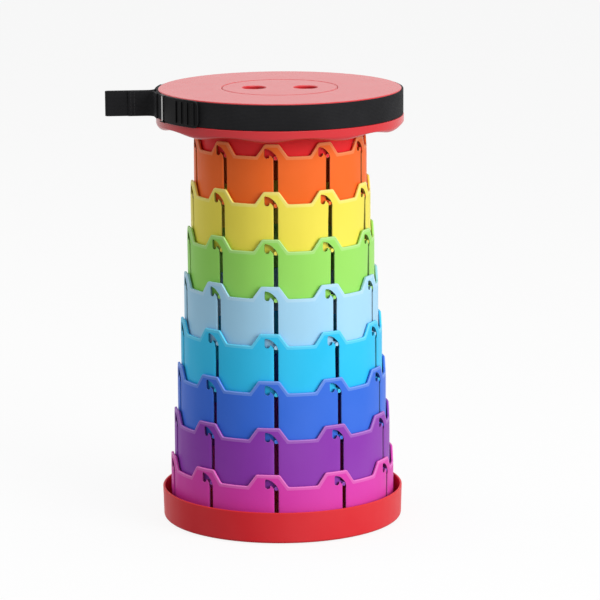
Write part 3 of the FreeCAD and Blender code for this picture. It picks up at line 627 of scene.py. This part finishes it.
def tabBorder(radius, flat):
    # The lines that part a tab's border, which gets a painted highlight, from its field, each as
    # (distance, normal up or out).
    s = ringShape
    leftFoot, leftTop, rightTop, rightFoot = tabCorners(radius, flat)
    lines = [(-s["border"], (0, 1)), (-s["tabHeight"] - s["border"], (0, 1))]
    for top, foot in ((leftTop, leftFoot), (rightTop, rightFoot)):
        run = foot - top
        length = math.hypot(run, s["tabHeight"])
        normal = (math.copysign(s["tabHeight"] / length, run), abs(run) / length)
        lines.append((top * normal[0] - s["border"], normal))
    return lines


def slotOutline():
    # The slot with its channel over to the locking pocket.
    s = slotShape
    side, hook, land = s["side"], s["hookRound"], s["landRound"]
    foot = s["foot"] - ringShape["height"]
    return [
        (-side, foot), (side, foot), (side, -s["archFoot"]) + s["footRound"],
        (-s["archKnee"], -s["archTop"]) + s["kneeRound"],
        (-s["hookFar"], -s["archTop"]) + s["archCorner"],
        (-s["hookFar"], -s["hookBottom"]) + hook, (-s["hookNear"], -s["hookBottom"]) + hook,
        (-s["hookNear"], -s["landTop"]) + land, (-side, -s["landFoot"]) + land,
    ]


def slopeLevels():
    # Heights where the slopes begin and have their full depth, first at the top, then at the foot.
    s = slotSlopes
    foot = slotShape["foot"] - ringShape["height"]
    return -s["top"], -s["top"] - s["fade"], foot, foot + s["fade"]


def slopeToSlot(bm):
    # Let the outer face slope down to the slot, in the faces whose centre lies near it.
    s = slotSlopes
    side = slotShape["side"]
    left, right = -side - s["left"], side + s["right"]
    levels = slopeLevels()
    foot = levels[2]

    def near(face):
        return left - s["reach"] < face.calc_center_median().x / mm < right + s["reach"]

    for place in (left, right):
        cut(bm, place, (1, 0), near)
    for level in levels:
        cut(bm, level, (0, 1), near)

    def share(value):
        return min(max(value, 0), 1)

    for vert in bm.verts:
        x, y, z = (part / mm for part in vert.co)
        along = share((-s["top"] - z) / s["fade"]) * share((z - foot) / s["fade"])
        slope = 0.0
        if x < -side + hair:
            slope = s["leftDepth"] * share((x - left) / s["left"])
        elif x > side - hair:
            slope = s["rightDepth"] * share((right - x) / s["right"])
        vert.co.y += slope * along * max(0, 1 - y / ringShape["wall"]) * mm
    # The sloping faces beside the slot get a painted highlight, as if they caught the light.
    layer = faceLayer(bm, "edge")
    for face in bm.faces:
        x, y, z = (part / mm for part in face.calc_center_median())
        sloping = (left < x < -side or side < x < right) and levels[1] > z > levels[3]
        if sloping and y < s["paintedHighlightDepth"]:
            face[layer] = max(face[layer], s["paintedHighlight"])


def tabbedWall(radius, flat):
    s = ringShape
    side, wall = slotShape["side"], s["wall"]
    foot = slotShape["foot"] - s["height"]
    bm = bmesh.new()
    flatFace(bm, sectorOutline(radius, flat))
    flatFace(bm, slotOutline())
    keepEdges(bm)
    fillOutlines(bm)
    cut(bm, -side)
    cut(bm, side)
    border = tabBorder(radius, flat)
    for place, normal in border:
        cut(bm, place, normal, lambda f: f.calc_center_median().z > s["borderLow"] * mm)
    skin = thicken(bm, bm.faces[:], y=wall - s["grooveDepth"])
    groove = {f for f in skin if abs(f.calc_center_median().x) < side * mm
              and f.calc_center_median().z < foot * mm}
    thicken(bm, [f for f in skin if f not in groove], y=s["grooveDepth"])
    bmesh.ops.recalc_face_normals(bm, faces=bm.faces[:])

    slack = slotShape["slack"]
    slotLeft, slotTop = -slotShape["hookFar"], -slotShape["archTop"]

    def inSlot(element):
        return all(slotLeft - slack < v.co.x / mm < side + slack
                   and foot - slack < v.co.z / mm < slotTop + slack for v in element.verts)

    def onFace(element, depth):
        return all(abs(v.co.y / mm - depth) < hair for v in element.verts)

    def rim(edge):
        # On the tabs and valleys: not the lower edge, the slot or the upright sides of the sector.
        ends = [v.co for v in edge.verts]
        return (all(v.z / mm > -s["height"] + hair for v in ends) and not inSlot(edge)
                and abs(ends[0].x - ends[1].x) > same["vertex"])

    # Slot side faces get painted shade through the "deep" attribute.
    deep = faceLayer(bm, "deep")
    for face in bm.faces:
        if inSlot(face) and abs(face.normal.y) < slotShape["sideways"]:
            face[deep] = 1.0
    softenEdges(bm, sharpEdges(bm, lambda e: onFace(e, 0) and rim(e)), s["tabSoftening"])
    softenEdges(bm, sharpEdges(bm, lambda e: onFace(e, 0) and inSlot(e)), slotShape["softening"])
    softenEdges(bm, sharpEdges(bm, lambda e: onFace(e, wall) and rim(e)), s["innerSoftening"])
    layer = faceLayer(bm, "edge")

    def beyond(face, line):
        centre = face.calc_center_median() / mm
        return centre.x * line[1][0] + centre.z * line[1][1] > line[0]

    # A band along the tab's top and sloping sides gets a painted highlight.
    for face in bm.faces:
        top, valley, left, right = (beyond(face, line) for line in border)
        if onFace(face, 0) and valley and (top or left or right):
            face[layer] = max(face[layer], s["paintedBorderLight"])
    half = radius * math.pi / s["columns"]
    cut(bm, half, drop="above")
    cut(bm, -half, drop="below")
    slopeToSlot(bm)
    count = round(360 / s["columns"] / s["columnDegrees"])
    for i in range(1, count):
        cut(bm, -half + 2 * half * i / count)

    def atEnd(face):
        return any(abs(abs(v.co.x) - half * mm) < same["plane"] for v in face.verts)

    for level in slopeLevels():  # the same points at both ends, so that the copies close up
        cut(bm, level, (0, 1), atEnd)
    bend(bm, radius)
    return bm


def studs(bm, radius, bottom):
    # Guide studs near a ring's lower edge, one for each slot column.
    length = studShape["root"] + studShape["reach"]
    pins = peg(studShape["radius"], length, studShape["softening"])
    lying = Matrix.Rotation(math.radians(90), 3, "X")
    bmesh.ops.rotate(pins, cent=(0, 0, 0), matrix=lying, verts=pins.verts[:])
    shift(pins, y=studShape["root"] - radius - length / 2, z=bottom + studShape["low"])
    repeatRound(pins, ringShape["columns"])
    absorb(bm, pins)


def fiveRound(bm, piece):
    # Five copies, each in line with the middle between two slot columns.
    repeatRound(piece, footBoss["count"])
    turn(piece, 180 / ringShape["columns"])
    absorb(bm, piece)


def slidingRing(name, stage):
    s = ringShape
    radius = s["topRadius"] + (len(ringNames) - stage) * s["step"]
    flat = s["tabFlat"] + (len(ringNames) - 1 - stage) * s["tabGrowth"]
    bm = tabbedWall(radius, flat)
    repeatRound(bm, s["columns"])
    if stage:
        studs(bm, radius, -s["height"])
    else:
        b = footBoss
        boss = peg(b["radius"], b["height"], b["softening"], b["sides"])
        shift(boss, y=-b["place"], z=-s["height"] + b["height"] / 2)
        fiveRound(bm, boss)
    turn(bm, s["turn"])
    shift(bm, z=s["firstTop"] + stage * s["stage"])
    body = name + "_stage" if stage else "base"
    makePiece(bm, name + "_ring_shell", body, plastics[name], name + "_ring")


for stage, name in enumerate(ringNames):
    slidingRing(name, stage)
print("coloured rings ready")

seat = {
    "top": 443.0, "plate": 3.0, "recess": 58.5, "recessRound": (1.5, 4), "ledge": 54.0,
    "ledgeDrop": 1.8, "rim": 122.6, "rimRound": (1.2, 5), "rimWall": 2.4, "skirt": 125.0,
    "skirtTop": 26.5, "skirtRound": (0.9, 3), "curlTop": 33.3, "skirtDrop": 38.8, "skirtWall": 2.2,
    "curl": 5.5, "curlRound": (5.4, 8), "foldSteps": 6, "edgeRound": (0.6, 2), "scallop": 3.8,
    "scallopTurn": 15.1, "steps": 240,
}
seatRibs = {"hub": 60.5, "wall": 1.8, "depth": 8.0, "outerGap": 0.3, "boss": 3.5, "bossDrop": 10.0,
            "bossSides": 24, "screwRadius": 75.0, "sunk": 0.5, "softening": (0.4, 2), "steps": 120}


def seatCap():
    s = seat
    inner, back, fold = s["rim"] - s["rimWall"], s["skirt"] - s["skirtWall"], s["skirt"] - s["curl"]
    edge = s["edgeRound"]
    bm = ringFrom([
        (s["recess"], 0) + s["recessRound"], (s["rim"], 0) + s["rimRound"],
        (s["rim"], -s["skirtTop"]) + edge, (s["skirt"], -s["skirtTop"]) + s["skirtRound"],
        (s["skirt"], -s["skirtDrop"]) + s["curlRound"], (fold, -s["skirtDrop"]) + edge,
        (fold, -s["skirtDrop"] + s["skirtWall"]) + edge,
        (back, -s["skirtDrop"] + s["skirtWall"], s["curl"] - s["skirtWall"], s["foldSteps"]),
        (back, -s["skirtTop"] - s["rimWall"]), (inner, -s["skirtTop"]),
        (inner, -s["plate"]) + s["skirtRound"], (s["ledge"], -s["plate"]),
        (s["ledge"], -s["ledgeDrop"]), (s["recess"], -s["ledgeDrop"]),
    ], s["steps"])
    for vert in bm.verts:
        share = (-vert.co.z / mm - s["curlTop"]) / (s["skirtDrop"] - s["curlTop"])
        if share > 0:
            around = math.atan2(vert.co.x, -vert.co.y) - math.radians(s["scallopTurn"])
            wave = (1 + math.cos(around * ringShape["columns"])) / 2
            vert.co.z += s["scallop"] * wave * share * mm
    seatUnderside(bm)
    turn(bm, ringShape["turn"])
    shift(bm, z=s["top"])
    makePiece(bm, "seat_cap_shell", "seat_stage", seatPlastic, "seat_cap")


def seatUnderside(bm):
    # Round rib, ten straight ribs out to the ring and five screw bosses.
    r = seatRibs
    under, low = r["sunk"] - seat["plate"], -seat["plate"] - r["depth"]
    outside = r["hub"] + r["wall"]
    absorb(bm, ringFrom([(r["hub"], under), (outside, under), (outside, low) + r["softening"],
                         (r["hub"], low) + r["softening"]], r["steps"]))
    half, start = r["wall"] / 2, r["hub"] + r["wall"] / 2
    end = ringShape["topRadius"] - ringShape["wall"] - r["outerGap"]
    rib = plate([(-half, -end), (half, -end), (half, -start), (-half, -start)], under - low)
    shift(rib, z=under)
    repeatRound(rib, ringShape["columns"])
    absorb(bm, rib)
    length = r["bossDrop"] + r["sunk"]
    boss = peg(r["boss"], length, r["softening"], r["bossSides"])
    shift(boss, y=-r["screwRadius"], z=under - length / 2)
    fiveRound(bm, boss)


finger = {"radius": 58.2, "flange": 1.8, "thick": 3.0, "spigot": 53.7, "spigotLow": 4.4,
          "wall": 2.0, "hole": 12.0, "spacing": 52.0, "depth": 9.0, "edgeRound": (1.5, 4),
          "underRound": (0.3, 2), "holeRound": (2.0, 5), "holeSteps": 56, "steps": 144}
clips = {"count": 4, "reach": 0.9, "width": 8.0, "top": 3.15, "foot": 4.35, "round": (0.4, 2),
         "sunk": 0.5}


def fingerPlate():
    p = finger
    inner, outside = p["spigot"] - p["wall"], p["hole"] + p["wall"]
    under = p["underRound"]
    bm = ringFrom([
        (0, 0), (p["radius"], 0) + p["edgeRound"], (p["radius"], -p["flange"]) + under,
        (p["spigot"], -p["flange"]), (p["spigot"], -p["spigotLow"]) + under,
        (inner, -p["spigotLow"]) + under, (inner, -p["thick"]), (0, -p["thick"]),
    ], p["steps"])
    half = p["spacing"] / 2
    pierce(bm, [(half, 0), (-half, 0)], [
        (p["hole"], 0), (p["hole"], -p["depth"]), (outside, -p["depth"]), (outside, -p["thick"])],
        p["holeSteps"])

    def lip(edge):
        return all(v.co.z > -same["plane"] and v.co.xy.length < inner * mm for v in edge.verts)

    softenEdges(bm, sharpEdges(bm, lip), p["holeRound"])
    c = clips
    side, end, root = c["width"] / 2, p["spigot"] + c["reach"], inner + c["sunk"]
    clip = plate([(-side, -end) + c["round"], (side, -end) + c["round"], (side, -root),
                  (-side, -root)], c["foot"] - c["top"])
    shift(clip, z=-c["top"])
    repeatRound(clip, c["count"])
    absorb(bm, clip)
    shift(bm, z=seat["top"])
    makePiece(bm, "finger_plate_shell", "seat_stage", seatPlastic, "finger_plate")


redShape = {"height": 58.5, "edgeRound": (0.4, 2), "lugWidth": 11.0, "lugThick": 3.0,
            "lugEnd": 69.5, "lugRoot": 81.9, "lugRound": (5.4, 6), "lugDrop": 10.0,
            "lugHole": 1.45, "softening": (0.3, 1), "steps": 180}


def redRing():
    r = redShape
    radius, inner = ringShape["topRadius"], ringShape["topRadius"] - ringShape["wall"]
    bm = ringFrom([(radius, 0), (radius, -r["height"]) + r["edgeRound"],
                   (inner, -r["height"]) + r["edgeRound"], (inner, 0)], r["steps"])
    studs(bm, radius, -r["height"])
    half, end = r["lugWidth"] / 2, r["lugRound"]
    lug = plate([(-half, -r["lugEnd"]) + end, (half, -r["lugEnd"]) + end, (half, -r["lugRoot"]),
                 (-half, -r["lugRoot"])],
                r["lugThick"], r["softening"], [(0, -seatRibs["screwRadius"], r["lugHole"])])
    shift(lug, z=-r["lugDrop"])
    fiveRound(bm, lug)
    turn(bm, ringShape["turn"])
    shift(bm, z=seat["top"] - seat["plate"])
    makePiece(bm, "red_ring_shell", "seat_stage", redRingPlastic, "red_ring")


seatCap()
fingerPlate()
redRing()
print("seat ready")

tray = {"rim": 32.6, "radius": 122.9, "draft": 0.9, "wall": 2.4, "round": (3.0, 6),
        "edge": (1.0, 4), "ledge": 5.5, "ledgeRadius": 111.01, "ledgeRound": (0.8, 3),
        "ledgeEdge": (0.4, 2), "floor": 4.0, "under": 0.6, "recess": 108.3, "recessTop": 1.5,
        "recessEdge": (0.3, 2), "screwHead": 2.5, "headTop": 2.6, "bore": 1.45, "boreSteps": 24,
        "steps": 240}


def baseTray():
    t = tray
    inner = t["radius"] - t["wall"]
    bm = ringFrom([
        (0, t["recessTop"]), (t["recess"], t["recessTop"]),
        (t["recess"], t["under"]) + t["recessEdge"],
        (t["radius"] - t["draft"], t["under"]) + t["round"], (t["radius"], t["rim"]) + t["edge"],
        (inner, t["rim"]) + t["edge"], (inner - t["draft"], t["ledge"]) + t["ledgeRound"],
        (t["ledgeRadius"], t["ledge"]) + t["ledgeEdge"], (t["ledgeRadius"], t["floor"]),
        (0, t["floor"]),
    ], t["steps"])
    places = []
    for number in range(footBoss["count"]):
        angle = 2 * math.pi * (number / footBoss["count"] + 0.5 / ringShape["columns"])
        places.append((footBoss["place"] * math.sin(angle), -footBoss["place"] * math.cos(angle)))
    pierce(bm, places, [(t["screwHead"], t["under"]), (t["screwHead"], t["headTop"]),
                        (t["bore"], t["headTop"]), (t["bore"], t["ledge"])], t["boreSteps"])
    turn(bm, ringShape["turn"])
    makePiece(bm, "base_tray_shell", "base", plastics["red"], "base_tray")


baseTray()
print("base ready")

strap = {
    "top": 442.1, "width": 25.3, "thick": 1.6, "inner": 122.9, "gap": 0.1, "loopGap": 3.0,
    "loopReach": 176.0, "loopTurn": 4.5, "leave": 5.0, "frontFoot": 21.2, "rearFoot": 20.0,
    "tailFoot": 11.0, "tailReach": 152.8, "edgeRound": (0.5, 3), "bandSteps": 240,
    "footSteps": 10, "cornerSteps": 14, "endSteps": 16, "sharp": 60,
}
stitch = {"length": 2.2, "pitch": 3.0, "radius": 0.32, "round": (0.192, 2), "sides": 8, "count": 8,
          "rows": (2.6, 6.2), "proud": 0.12}


def strapSection(bm, radius):
    # The webbing's cut face, standing at the given distance to the right of the axis.
    s = strap
    near, far = radius - s["thick"] / 2, radius + s["thick"] / 2
    high, low = s["top"], s["top"] - s["width"]
    corners = ((far, high), (near, high), (near, low), (far, low))
    flatFace(bm, [corner + s["edgeRound"] for corner in corners])
    return bm.faces[:]


def swing(bm, faces, centre, degrees, steps):
    # Carry the open end round a vertical axis.
    made = bmesh.ops.spin(bm, geom=withEdges(faces), cent=(centre[0] * mm, centre[1] * mm, 0),
                          axis=zAxis, angle=math.radians(degrees), steps=steps,
                          use_duplicate=False)
    return [g for g in made["geom_last"] if isinstance(g, bmesh.types.BMFace)]


def strapUv(bm, along):
    # The webbing's map, with the distance along the strap from a function.
    layer = bm.loops.layers.uv.get("strap") or bm.loops.layers.uv.new("strap")
    middle = strap["top"] - strap["width"] / 2
    for face in bm.faces:
        for loop in face.loops:
            loop[layer].uv = (along(loop.vert.co, face), loop.vert.co.z / mm - middle)


def roundSeat(co, face):
    # Distance along the rim; a face across the back keeps one side of the seam.
    angle = math.atan2(co.y, co.x)
    centre = face.calc_center_median()
    if abs(angle - math.atan2(centre.y, centre.x)) > math.pi:
        angle -= math.copysign(2 * math.pi, angle)
    return angle * strap["inner"]


def outToLeft(co, face):
    # Distance along a ply: straight out beyond the rim, and round it before that.
    rim = strap["inner"] + strap["thick"] * 2
    return min(co.x / mm, abs(math.atan2(co.y, -co.x)) * rim - rim)


def strapBand():
    s = strap
    bm = bmesh.new()
    strapSection(bm, s["inner"] + s["thick"] / 2)
    keepEdges(bm)
    spinSection(bm, s["bandSteps"])
    strapUv(bm, roundSeat)
    makePiece(bm, "strap_band_webbing", "seat_stage", webbingFinish, "strap_band",
              s["sharp"])


def plyPath(bm, outward, foot, endX):
    # One leg from its foot on the rim, round the corner and out to the left, at the front side.
    s = strap
    rim = s["inner"] + s["thick"] * 1.5 + s["gap"]
    leave = math.radians(s["leave"])
    level = (s["loopGap"] + s["thick"]) / 2
    corner = (rim * math.sin(leave) - level) / (1 - math.sin(leave))
    centre = (-(rim + corner) * math.cos(leave), -(rim + corner) * math.sin(leave))
    faces = strapSection(bm, rim + outward)
    turn(bm, 180 + foot)
    faces = swing(bm, faces, (0, 0), s["leave"] - foot, s["footSteps"])
    faces = swing(bm, faces, centre, 90 - s["leave"], s["cornerSteps"])
    return thicken(bm, faces, x=endX - centre[0]), centre


def finishPly(bm, name, node):
    strapUv(bm, outToLeft)
    turn(bm, strap["loopTurn"])
    makePiece(bm, name, "seat_stage", webbingFinish, node, strap["sharp"])


def strapLoop():
    s = strap
    tipX = -(s["loopReach"] - s["thick"] - s["loopGap"] / 2)
    bm = bmesh.new()
    faces, centre = plyPath(bm, 0, s["frontFoot"], tipX)
    faces = swing(bm, faces, (tipX, 0), -180, s["endSteps"])
    faces = thicken(bm, faces, x=centre[0] - tipX)
    faces = swing(bm, faces, (centre[0], -centre[1]), 90 - s["leave"], s["cornerSteps"])
    swing(bm, faces, (0, 0), s["leave"] - s["rearFoot"], s["footSteps"])
    finishPly(bm, "strap_loop_webbing", "strap_loop")


def strapTail():
    s = strap
    bm = bmesh.new()
    plyPath(bm, s["thick"] + s["gap"], s["tailFoot"], -s["tailReach"])
    finishPly(bm, "strap_tail_webbing", "strap_tail")


def tailStitches():
    # Two rows of thread through the tail's end, half sunk in its outer face.
    s, t = strap, stitch
    face = -(s["loopGap"] / 2 + 2 * s["thick"] + s["gap"]) + t["radius"] - t["proud"]
    middle = s["top"] - s["width"] / 2
    bm = bmesh.new()
    for row in t["rows"]:
        for number in range(t["count"]):
            piece = peg(t["radius"], t["length"], t["round"], t["sides"])
            shift(piece, x=row - s["tailReach"], y=face,
                  z=middle + (number - (t["count"] - 1) / 2) * t["pitch"])
            absorb(bm, piece)
    turn(bm, s["loopTurn"])
    makePiece(bm, "strap_tail_stitches", "seat_stage", threadFinish)


strapBand()
strapLoop()
strapTail()
tailStitches()
print("strap ready")

buckle = {
    "middle": 429.45, "height": 27.1, "inner": 125.05, "thick": 2.75, "start": 26.2, "span": 24.8,
    "round": (6.5, 6), "softening": (0.7, 3), "columns": 14,
}
buckleRibs = {"count": 4, "first": 9.3, "step": 3.9, "span": 1.5, "rise": 1.1, "height": 22.0,
              "round": (0.8, 3), "softening": (0.5, 3), "columns": 3}
buckleArms = {"span": 4.4, "root": 1.0, "thick": 0.8, "inner": 125.3, "outer": 129.2,
              "endRound": (1.2, 4), "softening": (0.2, 2), "bar": 127.4, "barTurn": 2.64,
              "barHole": 0.95}


def curvedPlate(corners, radius, thick, softening, columns):
    # A plate drawn flat, x along and z up, then wrapped round the seat with its back on the radius.
    bm = bmesh.new()
    flatFace(bm, corners)
    low, high = min(c[0] for c in corners), max(c[0] for c in corners)
    thicken(bm, bm.faces[:], y=-thick)
    bmesh.ops.recalc_face_normals(bm, faces=bm.faces[:])
    softenAll(bm, softening)
    for i in range(1, columns):
        cut(bm, low + (high - low) * i / columns)
    bend(bm, radius)
    return bm


def strapBuckle():
    # Angles run from the buckle's left end towards the front, so x grows with them.
    b, r, a = buckle, buckleRibs, buckleArms
    scale = math.radians(b["inner"])
    up, length = b["height"] / 2, b["span"] * scale
    bm = curvedPlate([(0, -up), (length, -up) + b["round"], (length, up) + b["round"], (0, up)],
                     b["inner"], b["thick"], b["softening"], b["columns"])
    high = r["height"] / 2
    for number in range(r["count"]):
        begin = (r["first"] + number * r["step"]) * scale
        end = begin + r["span"] * scale
        corners = [(begin, -high), (end, -high), (end, high), (begin, high)]
        absorb(bm, curvedPlate([corner + r["round"] for corner in corners],
                               b["inner"], b["thick"] + r["rise"], r["softening"], r["columns"]))

    def around(radius, degrees):
        angle = math.radians(degrees)
        return (radius * math.sin(angle), -radius * math.cos(angle))

    for top in (up, a["thick"] - up):
        arm = plate([around(a["inner"], -a["span"]), around(a["outer"], -a["span"]) + a["endRound"],
                     around(a["outer"], a["root"]), around(a["inner"], a["root"])],
                    a["thick"], a["softening"],
                    [around(a["bar"], -a["barTurn"]) + (a["barHole"],)])
        shift(arm, z=top)
        absorb(bm, arm)
    turn(bm, -90 + b["start"])
    shift(bm, z=b["middle"])
    makePiece(bm, "strap_buckle_body", "seat_stage", blackPlastic, "strap_buckle")


strapBuckle()
print("buckle ready")

for node, finish in (("base_pad", rubberFinish), ("base_screws", steelFinish),
                     ("seat_screws", steelFinish), ("buckle_bar", steelFinish)):
    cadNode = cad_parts[node]
    cadNode.data.materials.clear()
    cadNode.data.materials.append(finish)
